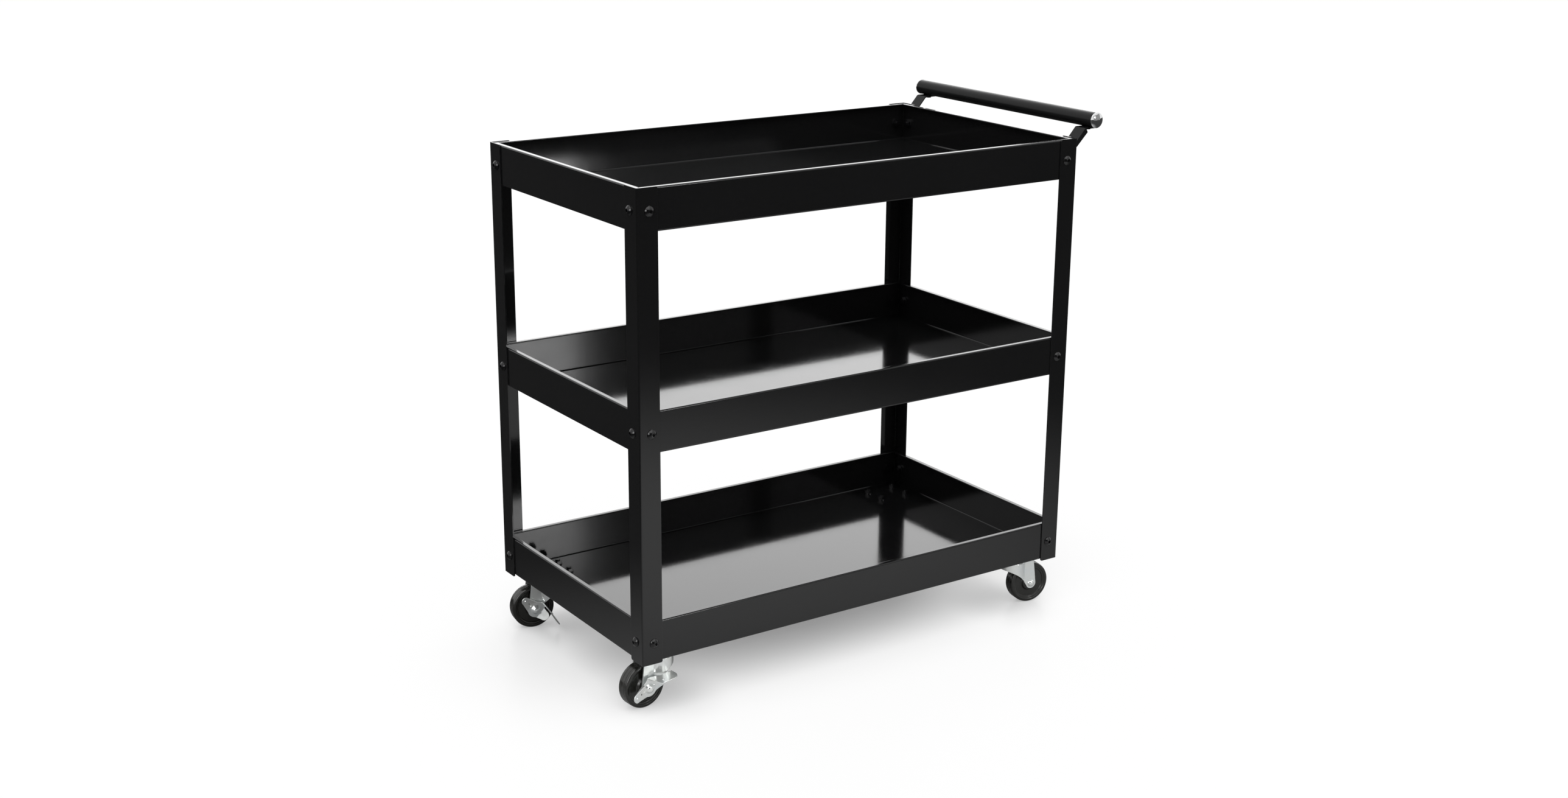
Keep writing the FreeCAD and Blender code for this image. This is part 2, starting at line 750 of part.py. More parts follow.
def brake_lever():
    """The stamped rocker: hub with a raised boss, a toe, a bent heel and a foot flange."""
    base = brake_plane
    t = brake_sheet
    hub = Part.makeCylinder(brake_hub_radius, t, V(0, 0, base))
    boss_top = brake_boss_radius * brake_boss_top_share
    boss = Part.makeCone(brake_boss_radius, boss_top, brake_boss_height, V(0, 0, base + t))
    parts = [hub, boss, brake_toe(base), brake_heel(base), brake_pedal(base)]
    lever = fused(parts)
    for k in (-1, 1):
        lever = lever.fuse(stud(V(k * brake_hub_radius * brake_stud_place_share, 0, base + t), UP))
    bore = rod(brake_pivot_radius + axle_clearance, V(0, 0, 0), V(0, 0, base + 4 * over))
    lever = lever.cut(bore)
    toe_hole = V(brake_toe_length * brake_hole_along_share, brake_hub_radius * brake_hole_side_share, 0)
    lever = lever.cut(rod(brake_hole_radius, toe_hole, toe_hole + UP * (base + 4 * over)))
    return lever.removeSplitter()


def stud(place, way):
    """A low tapered stud stamped or riveted on the lever's sheet."""
    top_radius = brake_stud_radius * brake_stud_top_share
    return Part.makeCone(brake_stud_radius, top_radius, brake_stud_height, place, way)


def folded_tab(outline, base, crease, slope):
    """A flat outline stamped from the plate and bent outward beyond a crease across X."""
    t = brake_sheet
    side = math.copysign(brake_pedal_reach, crease)
    rise = slope * abs(side - crease)
    plan = face_of(outline).extrude(UP * (base + rise + t))
    under = [V(0, 0, base), V(crease, 0, base), V(side, 0, base + rise)]
    profile = face_of(under + [p + UP * t for p in reversed(under)])
    sheet = profile.extrude(V(0, 2 * brake_pedal_reach, 0))
    sheet.translate(V(0, -brake_pedal_reach, 0))
    return plan.common(sheet)


def brake_toe(base):
    """The toe tapers from the hub to a round tip and lifts away from the wheel."""
    r, tip = brake_hub_radius, brake_toe_radius
    end = brake_toe_length - tip
    rise = brake_toe_radius * brake_toe_rise_share
    root = r * brake_root_share
    outline = [V(root, -r * brake_edge_share, 0), V(end, rise - tip, 0),
               (V(end + tip, rise, 0), V(end, rise + tip, 0)), V(root, r * brake_edge_share, 0)]
    crease = brake_crease
    toe = folded_tab(outline, base, crease, brake_toe_slope)
    along = brake_toe_length * brake_rivet_share
    place = V(along, rise, base + brake_toe_slope * (along - crease) + brake_sheet)
    rivet = stud(place, V(-brake_toe_slope, 0, 1))
    return fused([toe, rivet, brake_toe_lip(outline, base, crease)])


def brake_toe_lip(outline, base, crease):
    """A low wall that stiffens the toe along its upper edge."""
    root, tip = outline[-1], outline[2][1]
    tip_base = base + brake_toe_slope * (tip.x - crease)
    top = base + brake_sheet + brake_lip
    profile = [V(root.x, 0, base), V(crease, 0, base), V(tip.x, 0, tip_base),
               V(tip.x, 0, tip_base + brake_sheet), V(crease, 0, top), V(root.x, 0, top)]
    wall = face_of(profile).extrude(V(0, -brake_sheet, 0))
    wall.translate(V(0, root.y, 0))
    lean = math.degrees(math.atan2(tip.y - root.y, tip.x - root.x))
    wall.rotate(root, UP, lean)
    return wall


def brake_heel(base):
    """The heel is a broad round tab, bent outward at its own crease."""
    r = brake_hub_radius
    half = brake_heel_width / 2
    end = -brake_heel_length
    root = -r * brake_root_share
    outline = [V(root, -r * brake_edge_share, 0), V(root, r * brake_edge_share, 0), V(end + half, half, 0),
               (V(end, 0, 0), V(end + half, -half, 0))]
    return folded_tab(outline, base, -brake_crease, brake_heel_rise / (brake_heel_length - brake_crease))


def brake_pedal(base):
    """The foot flange folds outward from a shoulder above the heel and clears the fork's crown."""
    t = brake_sheet
    neck = brake_crease
    slope = brake_pedal_drop / (brake_pedal_reach + brake_pedal_near)

    def edge_point(along, out):
        return V(along, brake_pedal_height + slope * (along - brake_pedal_near), base + out)
    start = edge_point(brake_pedal_near, 0)
    far = edge_point(-brake_pedal_reach, brake_pedal_width)
    along = V(-brake_pedal_reach - brake_pedal_near, -brake_pedal_drop, 0).normalize()
    corner = brake_pedal_corner
    diagonal = corner * (1 - math.sqrt(0.5))
    rounded = (far - along * diagonal - UP * diagonal, far - UP * corner)
    outline = [start, edge_point(brake_pedal_near, t), edge_point(-neck, brake_pedal_width),
               far - along * corner, rounded,
               edge_point(-brake_pedal_reach, brake_pedal_lift), edge_point(-2 * neck, brake_pedal_lift),
               edge_point(-neck, 0)]
    strip = face_of(outline).extrude(V(-along.y, along.x, 0) * t)
    ring_along = brake_pedal_near - brake_ring_along_share * (brake_pedal_reach + brake_pedal_near)
    ring_place = edge_point(ring_along, brake_pedal_width * brake_ring_out_share)
    above = V(along.y, -along.x, 0)
    hole = rod(brake_hole_radius, ring_place - above * over, ring_place + above * over)
    strip = strip.fuse(stud(ring_place, above)).cut(hole)
    root = brake_hub_radius * brake_root_share
    shoulder = face_of([V(-neck, 0, base), edge_point(-neck, 0), start,
                        V(root, brake_hub_radius * brake_edge_share, base), V(0, 0, base)])
    return strip.fuse(shoulder.extrude(UP * t))


def brake_turned(shape, turn):
    """Stands a flat-drawn brake piece on the axle, turned about it by an angle in degrees."""
    shape = shape.mirror(V(0, 0, 0), V(0, 1, 0))
    upright = FreeCAD.Rotation(UP, V(0, 1, 0))
    stance = FreeCAD.Rotation(V(0, 1, 0), -turn).multiply(upright)
    shape.Placement = FreeCAD.Placement(V(caster_trail, 0, axle_z), stance)
    return shape


def placed_caster(shape, name):
    """Turns a caster piece to its rest swivel and carries it to its kingpin."""
    side_x, side_y, turn, brake = CASTERS[name]
    shape = shape.copy()
    place = FreeCAD.Placement(V(side_x * kingpin_x, side_y * kingpin_y, 0), FreeCAD.Rotation(UP, turn))
    shape.Placement = place.multiply(shape.Placement)
    return shape


def caster_nodes():
    nodes = {}
    plate = caster_plate()
    yoke = fork()
    roller = wheel()
    bush = wheel_bush()
    brake_stack = brake_gap + brake_cam_height + brake_sheet + brake_boss_height
    for name, (side_x, side_y, turn, brake) in CASTERS.items():
        level_plate = plate.copy()
        level_plate.translate(V(side_x * kingpin_x, side_y * kingpin_y, 0))
        nodes["caster_plate_" + name] = level_plate
        nodes["caster_fork_" + name] = placed_caster(yoke, name)
        nodes["wheel_" + name] = placed_caster(roller, name)
        nodes["wheel_bush_" + name] = placed_caster(bush, name)
        side = 1 if brake is not None else -1
        stack = brake_gap + brake_stack if brake is not None else 0
        nodes["axle_bolt_" + name] = placed_caster(axle_bolt(side, stack), name)
        nodes["axle_nut_" + name] = placed_caster(axle_nut(side), name)
        if brake is not None:
            nodes["brake_lever_" + name] = placed_caster(brake_turned(brake_lever(), brake), name)
            nodes["brake_cam_" + name] = placed_caster(brake_turned(brake_cam(), brake), name)
    pins = []
    for side_x in (-1, 1):
        for side_y in (-1, 1):
            pin = kingpin()
            pin.translate(V(side_x * kingpin_x, side_y * kingpin_y, 0))
            pins.append(pin)
    nodes["kingpins"] = Part.makeCompound(pins)
    return nodes


def frame_nodes():
    nodes = {}
    for depth, side_y in (("front", -1), ("back", 1)):
        for end, side_x in (("left", -1), ("right", 1)):
            nodes["post_" + depth + "_" + end] = post(side_x, side_y)
    nodes["bottom_tray"] = bottom_tray()
    nodes["middle_tray"] = tray(tray_base + tray_pitch)
    nodes["top_tray"] = tray(tray_base + 2 * tray_pitch)
    for name, level in zip(("bottom", "middle", "top"), bolt_levels()):
        bolts, nuts = tray_fasteners(level)
        nodes[name + "_tray_bolts"] = Part.makeCompound(bolts)
        nodes[name + "_tray_nuts"] = Part.makeCompound(nuts)
    bolts, nuts = plate_fasteners()
    nodes["caster_bolts"] = Part.makeCompound(bolts)
    nodes["caster_nuts"] = Part.makeCompound(nuts)
    nodes["handle_tube"] = handle_tube()
    for depth, side_y in (("front", -1), ("back", 1)):
        nodes["handle_cap_" + depth] = handle_cap(side_y)
        nodes["handle_bracket_" + depth] = handle_bracket(side_y)
    nodes["handle_screws"] = Part.makeCompound(handle_screws())
    return nodes


def export(nodes):
    os.makedirs("parts", exist_ok=True)
    for name, shape in nodes.items():
        shape = shape.copy()
        shape.translate(V(-envelope_middle, 0, 0))
        shape.exportStep("parts/" + name + ".step")
        b = shape.BoundBox
        print("%-28s solids %2d valid %s volume %10.1f box %7.1f %7.1f %7.1f to %7.1f %7.1f %7.1f" % (
            name, len(shape.Solids), shape.isValid(), shape.Volume,
            b.XMin, b.YMin, b.ZMin, b.XMax, b.YMax, b.ZMax))


everything = frame_nodes()
everything.update(caster_nodes())
export(everything)
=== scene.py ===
import json
import math

import bmesh
import bpy
from mathutils import Matrix, Vector


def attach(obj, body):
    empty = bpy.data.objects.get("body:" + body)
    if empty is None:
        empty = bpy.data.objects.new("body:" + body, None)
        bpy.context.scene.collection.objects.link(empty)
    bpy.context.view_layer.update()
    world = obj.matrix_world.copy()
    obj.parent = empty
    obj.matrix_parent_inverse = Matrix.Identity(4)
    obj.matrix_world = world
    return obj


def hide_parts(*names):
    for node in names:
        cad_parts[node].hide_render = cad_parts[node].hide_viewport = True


# Utility cart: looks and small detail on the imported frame, in metres.

MM = 0.001

# Wheel section in millimetres, from the middle of the tread to the bore, half of it:
# (radius, offset along the axle)
WHEEL_SEGMENTS = 144
WHEEL_SECTION = [
    (37.5, 0.0), (37.5, 3.3), (37.0, 3.55), (36.95, 3.9), (37.45, 4.15), (37.45, 8.0), (37.1, 9.4),
    (36.3, 10.5), (35.1, 11.1), (33.6, 11.25), (32.2, 11.25), (31.5, 10.9), (31.2, 10.3), (30.9, 9.9),
    (28.4, 9.6), (28.0, 9.2), (27.7, 8.5), (27.3, 8.1), (17.4, 7.9), (15.9, 8.1), (15.0, 8.8),
    (14.2, 10.6), (13.4, 11.9), (12.6, 12.6), (11.6, 12.8), (7.4, 12.8), (6.8, 12.6), (6.5, 12.2),
]
WHEEL_CREASE = 40.0                 # degrees, sharper edges stay sharp in shading
TREAD_SPAN = (0.0362, 0.0374)       # radii between which the scuffed tread begins
TURNING_LINES = 9000.0              # radians per metre of radius

# Threads on the bolts' free ends, in millimetres
THREAD_RADIUS = 4.0
THREAD_SINK = 0.02                  # how far a ridge's foot lies in the bolt
THREAD_HEIGHT = 0.32
THREAD_PITCH = 1.25
THREAD_HALF_WIDTH = 0.42            # of the pitch
THREAD_STEPS = 20                   # per turn
THREAD_START_HEIGHT = 0.3           # of the full height, where the thread leaves the nut
THREAD_END = 3.2                    # from the bolt's tip down to the thread's start
THREAD_TIP_GAP = 0.2

# Camera that stands where the photograph was taken
CAMERA_PLACE = (-1.8423, -2.6693, 1.3821)
CAMERA_RIGHT = (0.827725, -0.561077, 0.007997)
CAMERA_UP = (0.157203, 0.245547, 0.956553)
CAMERA_AHEAD = (0.538664, 0.790506, -0.291449)
CAMERA_LENS = 44.834                # in millimetres, like the sensor's width
CAMERA_SENSOR = 36.0
CAMERA_FAR = 200.0

# Studio floor: the cart's shadow, each caster's shadow, and a painted pool of light in front. A reach is a
# length along X and one along Y, a fade is counted in reaches from the centre, and whiteness is the
# share of pure white in the middle and past the fade
FLOOR_HALF = 30.0
SHADOW_CENTRE = (0.0, 0.05)
SHADOW_REACH = (0.56, 0.25)
SHADOW_FADE = (0.3, 1.65)
SHADOW_WHITENESS = (0.2, 0.92)
CASTER_REACH = (0.13, 0.13)
CASTER_FADE = (0.2, 1.0)
CASTER_WHITENESS = (0.55, 1.0)
# The pool of light in front and the dark unlit floor around it are painted on the floor, and only reflections and
# bounce light see them
POOL_CENTRE = (-0.1, -0.85)
POOL_REACH = (1.0, 1.0)
POOL_FADE = (0.2, 1.5)
PAINTED_POOL_TONE = 0.85
UNLIT_TONE = 0.05

WORLD_SEEN = 1.0                    # white behind the cart and in reflections
WORLD_LIGHT = 0.75                  # light that it gives to the cart and the floor

BEVEL_SAMPLES = 6
EDGE_SPAN = (0.985, 0.86)           # cosines between rounded and flat normals, off and on an edge
WELD_DIGITS = 6                     # vertices that agree to this many digits are one


# Node helpers
def new_material(name):
    """A material without nodes."""
    material = bpy.data.materials.new(name)
    material.use_nodes = True
    material.node_tree.nodes.clear()
    return material


class Graph:
    """Short calls for building the nodes of a material or of the world."""

    def __init__(self, owner):
        self.tree = owner.node_tree

    def node(self, kind, **settings):
        made = self.tree.nodes.new("ShaderNode" + kind)
        for key, value in settings.items():
            setattr(made, key, value)
        return made

    def link(self, start, end):
        self.tree.links.new(start, end)

    def place(self):
        return self.node("TexCoord").outputs["Object"]

    def noise(self, vector, scale, detail, roughness, stretch=None):
        if stretch:
            mapping = self.node("Mapping")
            mapping.inputs["Scale"].default_value = stretch
            self.link(vector, mapping.inputs["Vector"])
            vector = mapping.outputs["Vector"]
        made = self.node("TexNoise")
        made.inputs["Scale"].default_value = scale
        made.inputs["Detail"].default_value = detail
        made.inputs["Roughness"].default_value = roughness
        self.link(vector, made.inputs["Vector"])
        return made.outputs["Fac"]

    def spread(self, value, span, result, easing="LINEAR"):
        """Carries a value's span to a span of results, held at both ends."""
        made = self.node("MapRange", interpolation_type=easing)
        made.inputs["From Min"].default_value, made.inputs["From Max"].default_value = span
        made.inputs["To Min"].default_value, made.inputs["To Max"].default_value = result
        self.link(value, made.inputs["Value"])
        return made.outputs["Result"]

    def math(self, operation, first, second=None):
        made = self.node("Math", operation=operation)
        for socket, value in zip(made.inputs, (first, second)):
            if value is None:
                continue
            if isinstance(value, float):
                socket.default_value = value
            else:
                self.link(value, socket)
        return made.outputs[0]

    def mix(self, factor, first, second):
        made = self.node("Mix", data_type="RGBA")
        self.link(factor, made.inputs["Factor"])
        first_color, second_color, mixed = made.inputs[6], made.inputs[7], made.outputs[2]
        for socket, value in ((first_color, first), (second_color, second)):
            if isinstance(value, tuple):
                socket.default_value = (*value, 1.0)
            else:
                self.link(value, socket)
        return mixed

    def bump(self, height, distance, strength, normal=None):
        made = self.node("Bump")
        made.inputs["Strength"].default_value = strength
        made.inputs["Distance"].default_value = distance
        self.link(height, made.inputs["Height"])
        if normal is not None:
            self.link(normal, made.inputs["Normal"])
        return made.outputs["Normal"]

    def rounded(self, radius):
        """Normals rounded off at edges."""
        bevel = self.node("Bevel", samples=BEVEL_SAMPLES)
        bevel.inputs["Radius"].default_value = radius
        return bevel.outputs["Normal"]

    def edges(self, rounded):
        """A mask that is 1 where rounded normals leave the flat ones."""
        flat = self.node("NewGeometry").outputs["True Normal"]
        dot = self.node("VectorMath", operation="DOT_PRODUCT")
        self.link(rounded, dot.inputs[0])
        self.link(flat, dot.inputs[1])
        return self.spread(dot.outputs["Value"], EDGE_SPAN, (0.0, 1.0))

    def diffuse(self, color):
        """A matt surface of a grey level or of another node's colour."""
        shader = self.node("BsdfDiffuse")
        if isinstance(color, float):
            shader.inputs["Color"].default_value = (color, color, color, 1.0)
        else:
            self.link(color, shader.inputs["Color"])
        return shader.outputs["BSDF"]

    def blend(self, factor, first, second):
        """The first shader where the factor is 0, the second where it is 1."""
        made = self.node("MixShader")
        self.link(factor, made.inputs["Fac"])
        self.link(first, made.inputs[1])
        self.link(second, made.inputs[2])
        return made.outputs["Shader"]

    def surface(self, shader, kind="OutputMaterial"):
        self.link(shader, self.node(kind).inputs["Surface"])

    def finish(self, color, roughness, normal, constants):
        """Principled surface, with its constant values given by socket name."""
        shader = self.node("BsdfPrincipled")
        for socket, value in constants.items():
            shader.inputs[socket].default_value = value
        self.link(color, shader.inputs["Base Color"])
        self.link(roughness, shader.inputs["Roughness"])
        self.link(normal, shader.inputs["Normal"])
        self.surface(shader.outputs["BSDF"])


# Materials
def powder_coat(name, roughness_span, gloss):
    """Black coat with fine orange peel, uneven gloss and slightly rubbed edges."""
    material = new_material(name)
    g = Graph(material)
    place = g.place()
    rounded = g.rounded(0.0009)
    cloud = g.noise(place, scale=5.0, detail=4.0, roughness=0.55)
    fleck = g.noise(place, scale=900.0, detail=2.0, roughness=0.6)
    wear = g.noise(place, scale=70.0, detail=4.0, roughness=0.7)
    sheen = g.noise(place, scale=14.0, detail=5.0, roughness=0.6)
    peel = g.noise(place, scale=620.0, detail=3.0, roughness=0.6)
    tone = g.mix(cloud, (0.0055, 0.0056, 0.0058), (0.0090, 0.0091, 0.0093))
    tone = g.mix(g.spread(fleck, (0.5, 0.75), (0.0, 0.6)), tone, (0.018, 0.018, 0.019))
    rub = g.math("MULTIPLY", g.edges(rounded), g.spread(wear, (0.42, 0.72), (0.05, 0.9)))
    color = g.mix(rub, tone, (0.05, 0.05, 0.052))
    roughness = g.spread(sheen, (0.3, 0.7), roughness_span)
    g.finish(color, roughness, g.bump(peel, 0.00005, 0.6, rounded), gloss)
    return material


def black_steel():
    """Glossy black fastener finish with rubbed edges."""
    material = new_material("black_fastener_steel")
    g = Graph(material)
    place = g.place()
    rounded = g.rounded(0.0005)
    cloud = g.noise(place, scale=130.0, detail=4.0, roughness=0.6)
    wear = g.noise(place, scale=420.0, detail=3.0, roughness=0.7)
    sheen = g.noise(place, scale=300.0, detail=4.0, roughness=0.6)
    grain = g.noise(place, scale=700.0, detail=3.0, roughness=0.6)
    tone = g.mix(cloud, (0.0035, 0.0035, 0.0038), (0.0075, 0.0075, 0.0080))
    rub = g.math("MULTIPLY", g.edges(rounded), g.spread(wear, (0.4, 0.7), (0.05, 0.6)))
    color = g.mix(rub, tone, (0.045, 0.045, 0.048))
    roughness = g.spread(sheen, (0.3, 0.7), (0.08, 0.18))
    gloss = {"Specular IOR Level": 0.28, "Coat Weight": 0.25, "Coat Roughness": 0.05}
    g.finish(color, roughness, g.bump(grain, 0.00003, 0.3, rounded), gloss)
    return material


def zinc_plate():
    """Bright zinc plate with a faint blue and yellow cast and fine rolling lines."""
    material = new_material("bright_zinc")
    g = Graph(material)
    place = g.place()
    rounded = g.rounded(0.0006)
    cast = g.noise(place, scale=38.0, detail=4.0, roughness=0.6)
    cloud = g.noise(place, scale=110.0, detail=4.0, roughness=0.6)
    sheen = g.noise(place, scale=150.0, detail=3.0, roughness=0.5)
    waves = g.noise(place, scale=45.0, detail=2.0, roughness=0.5)
    lines = g.noise(place, scale=900.0, detail=2.0, roughness=0.5, stretch=(1.0, 1.0, 0.12))
    color = g.mix(cast, (0.87, 0.94, 0.98), (0.98, 0.96, 0.89))
    color = g.mix(g.spread(cloud, (0.4, 0.7), (0.0, 0.15)), color, (0.84, 0.87, 0.90))
    color = g.mix(g.math("MULTIPLY", g.edges(rounded), 0.5), color, (0.93, 0.93, 0.92))
    roughness = g.spread(sheen, (0.3, 0.7), (0.12, 0.19))
    normal = g.bump(waves, 0.0003, 0.25, rounded)
    g.finish(color, roughness, g.bump(lines, 0.00001, 0.3, normal), {"Metallic": 0.72})
    return material


def chrome():
    """Polished chrome with faint handling marks."""
    material = new_material("polished_chrome")
    g = Graph(material)
    place = g.place()
    rounded = g.rounded(0.0005)
    cloud = g.noise(place, scale=60.0, detail=3.0, roughness=0.5)
    marks = g.noise(place, scale=240.0, detail=4.0, roughness=0.6)
    grain = g.noise(place, scale=500.0, detail=3.0, roughness=0.5)
    color = g.mix(cloud, (0.70, 0.71, 0.73), (0.78, 0.78, 0.77))
    roughness = g.spread(marks, (0.35, 0.75), (0.04, 0.10))
    g.finish(color, roughness, g.bump(grain, 0.00002, 0.3, rounded), {"Metallic": 1.0})
    return material


def radius_from_axis(g, place, centre, axis):
    """Distance of a place from the line through a centre along an axis."""
    offset = g.node("VectorMath", operation="SUBTRACT")
    g.link(place, offset.inputs[0])
    offset.inputs[1].default_value = centre
    along = g.node("VectorMath", operation="DOT_PRODUCT")
    g.link(offset.outputs["Vector"], along.inputs[0])
    along.inputs[1].default_value = axis
    length = g.node("VectorMath", operation="DOT_PRODUCT")
    g.link(offset.outputs["Vector"], length.inputs[0])
    g.link(offset.outputs["Vector"], length.inputs[1])
    square = g.math("MULTIPLY", along.outputs["Value"], along.outputs["Value"])
    return g.math("SQRT", g.math("MAXIMUM", g.math("SUBTRACT", length.outputs["Value"], square), 0.0))


def wheel_rubber(name, centre, axis):
    """Hard black rubber: smooth moulded faces with turning lines and a scuffed, dusty tread."""
    material = new_material(name)
    g = Graph(material)
    place = g.place()
    radius = radius_from_axis(g, place, centre, axis)
    scuff = g.noise(place, scale=160.0, detail=5.0, roughness=0.6)
    cloud = g.noise(place, scale=30.0, detail=4.0, roughness=0.6)
    sheen = g.noise(place, scale=90.0, detail=3.0, roughness=0.5)
    grain = g.noise(place, scale=480.0, detail=3.0, roughness=0.5)
    tread = g.spread(radius, TREAD_SPAN, (0.0, 1.0))
    worn = g.math("MULTIPLY", tread, g.spread(scuff, (0.42, 0.75), (0.0, 0.5)))
    tone = g.mix(cloud, (0.0085, 0.0085, 0.0070), (0.015, 0.0148, 0.012))
    color = g.mix(worn, tone, (0.045, 0.043, 0.039))
    smooth = g.spread(sheen, (0.3, 0.7), (0.18, 0.25))
    roughness = g.math("ADD", smooth, g.math("MULTIPLY", worn, 0.35))
    rings = g.math("SINE", g.math("MULTIPLY", radius, TURNING_LINES))
    normal = g.bump(grain, 0.00004, 0.3, g.bump(rings, 0.00001, 0.3))
    gloss = {"Specular IOR Level": 0.5, "Coat Weight": 0.2, "Coat Roughness": 0.15}
    g.finish(color, roughness, normal, gloss)
    return material


# Mesh helpers
def add_mesh(name, bm, material):
    """An object in the scene made from a bmesh, which is freed."""
    mesh = bpy.data.meshes.new(name)
    bm.to_mesh(mesh)
    bm.free()
    mesh.materials.append(material)
    made = bpy.data.objects.new(name, mesh)
    bpy.context.scene.collection.objects.link(made)
    return made


def add_piece(name, bm, material, body):
    """A smooth piece of the cart that rides on a body."""
    bmesh.ops.recalc_face_normals(bm, faces=bm.faces)
    piece = add_mesh(name, bm, material)
    piece.data.shade_smooth()
    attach(piece, body)
    return piece


def frame_along(centre, axis):
    """A matrix that carries +Z to an axis and the origin to a centre."""
    turn = Vector(axis).to_track_quat("Z", "Y").to_matrix().to_4x4()
    return Matrix.Translation(Vector(centre)) @ turn


def turned(start, end):
    """The turn that points +Z from a start to an end."""
    return (Vector(end) - Vector(start)).to_track_quat("Z", "Y").to_euler()


def lathe(bm, section, segments, matrix):
    """Turns a closed section of (radius, height) points round +Z of a matrix."""
    rings = []
    for radius, height in section:
        ring = []
        for k in range(segments):
            a = 2 * math.pi * k / segments
            point = Vector((radius * math.cos(a), radius * math.sin(a), height))
            ring.append(bm.verts.new(matrix @ point))
        rings.append(ring)
    for low, high in zip(rings, rings[1:] + rings[:1]):
        for k in range(segments):
            n = (k + 1) % segments
            bm.faces.new((low[k], low[n], high[n], high[k]))


def sharpen(piece, degrees):
    """Marks edges sharper than an angle, so smooth shading stops there."""
    bm = bmesh.new()
    bm.from_mesh(piece.data)
    for edge in bm.edges:
        if len(edge.link_faces) == 2 and edge.calc_face_angle() > math.radians(degrees):
            edge.smooth = False
    bm.to_mesh(piece.data)
    bm.free()


def build_wheel(corner, joint):
    """A moulded wheel with tread lines, rounded shoulders, sunk faces and a hub."""
    half = [(r * MM, z * MM) for r, z in WHEEL_SECTION]
    section = [(r, -z) for r, z in reversed(half)] + half[1:]
    bm = bmesh.new()
    lathe(bm, section, WHEEL_SEGMENTS, frame_along(joint["pos_m"], joint["axis"]))
    material = wheel_rubber("wheel_rubber_" + corner, joint["pos_m"], joint["axis"])
    wheel = add_piece("moulded_wheel_" + corner, bm, material, joint["child"])
    sharpen(wheel, WHEEL_CREASE)
    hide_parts("wheel_" + corner)


def add_thread(bm, tip, direction):
    """A helical ridge round the free end of a bolt that points along a direction."""
    start = Vector(tip) - Vector(direction) * THREAD_END * MM
    length = (THREAD_END - THREAD_TIP_GAP) * MM
    matrix = frame_along(start, direction)
    steps = int(length / (THREAD_PITCH * MM) * THREAD_STEPS)
    side = THREAD_HALF_WIDTH * THREAD_PITCH * MM
    rows = []
    for k in range(steps + 1):
        a = 2 * math.pi * k / THREAD_STEPS
        height = length * k / steps
        share = min(1.0, (steps - k) / THREAD_STEPS, k / THREAD_STEPS + THREAD_START_HEIGHT)
        row = []
        for rise, shift in ((0.0, -side), (share, 0.0), (0.0, side)):
            r = (THREAD_RADIUS - THREAD_SINK + THREAD_HEIGHT * rise) * MM
            row.append(bm.verts.new(matrix @ Vector((r * math.cos(a), r * math.sin(a), height + shift))))
        rows.append(row)
    for low, high in zip(rows, rows[1:]):
        for j in range(2):
            bm.faces.new((low[j], low[j + 1], high[j + 1], high[j]))


def islands(node):
    """The separate solids of a node, each as its lowest and highest corner."""
    mesh = frame["nodes"][node].data
    parent = list(range(len(mesh.vertices)))

    def root(i):
        while parent[i] != i:
            parent[i] = parent[parent[i]]
            i = parent[i]
        return i

    seen = {}
    for v in mesh.vertices:
        key = tuple(round(c, WELD_DIGITS) for c in v.co)
        parent[v.index] = seen.setdefault(key, v.index)
    for edge in mesh.edges:
        a, b = root(edge.vertices[0]), root(edge.vertices[1])
        parent[a] = b
    boxes = {}
    for v in mesh.vertices:
        low, high = boxes.setdefault(root(v.index), (v.co.copy(), v.co.copy()))
        for i in range(3):
            low[i] = min(low[i], v.co[i])
            high[i] = max(high[i], v.co[i])
    return list(boxes.values())


def upright_end(low, high):
    """Tip and direction of a bolt that points up."""
    middle = (low + high) / 2
    return Vector((middle.x, middle.y, high.z)), Vector((0, 0, 1))


def inward_end(low, high):
    """Tip and direction of a tray bolt, whose threaded end points to the middle of the tray."""
    middle = (low + high) / 2
    across = 1 if high.x - low.x < high.y - low.y else 0
    direction = Vector((0, 0, 0))
    direction[across] = -math.copysign(1, middle[across])
    tip = middle.copy()
    tip[across] = low[across] if middle[across] > 0 else high[across]
    return tip, direction


def build_threads():
    """Threads on the bolt ends that stand inside the trays."""
    ends = {
        "caster": upright_end,
        "bottom_tray": inward_end,
        "middle_tray": inward_end,
        "top_tray": inward_end,
    }
    for place, end in ends.items():
        bm = bmesh.new()
        for low, high in islands(place + "_bolts"):
            add_thread(bm, *end(low, high))
        add_piece(place + "_bolt_threads", bm, finishes["black_fastener"], "cart")


# Studio
def distance_on_floor(g, centre, reach):
    """Distance from a point on the floor, with a reach along X and one along Y counted as 1."""
    shifted = g.node("Mapping", vector_type="POINT")
    shifted.inputs["Location"].default_value = (-centre[0] / reach[0], -centre[1] / reach[1], 0.0)
    shifted.inputs["Scale"].default_value = (1.0 / reach[0], 1.0 / reach[1], 0.0)
    g.link(g.place(), shifted.inputs["Vector"])
    length = g.node("VectorMath", operation="LENGTH")
    g.link(shifted.outputs["Vector"], length.inputs[0])
    return length.outputs["Value"]


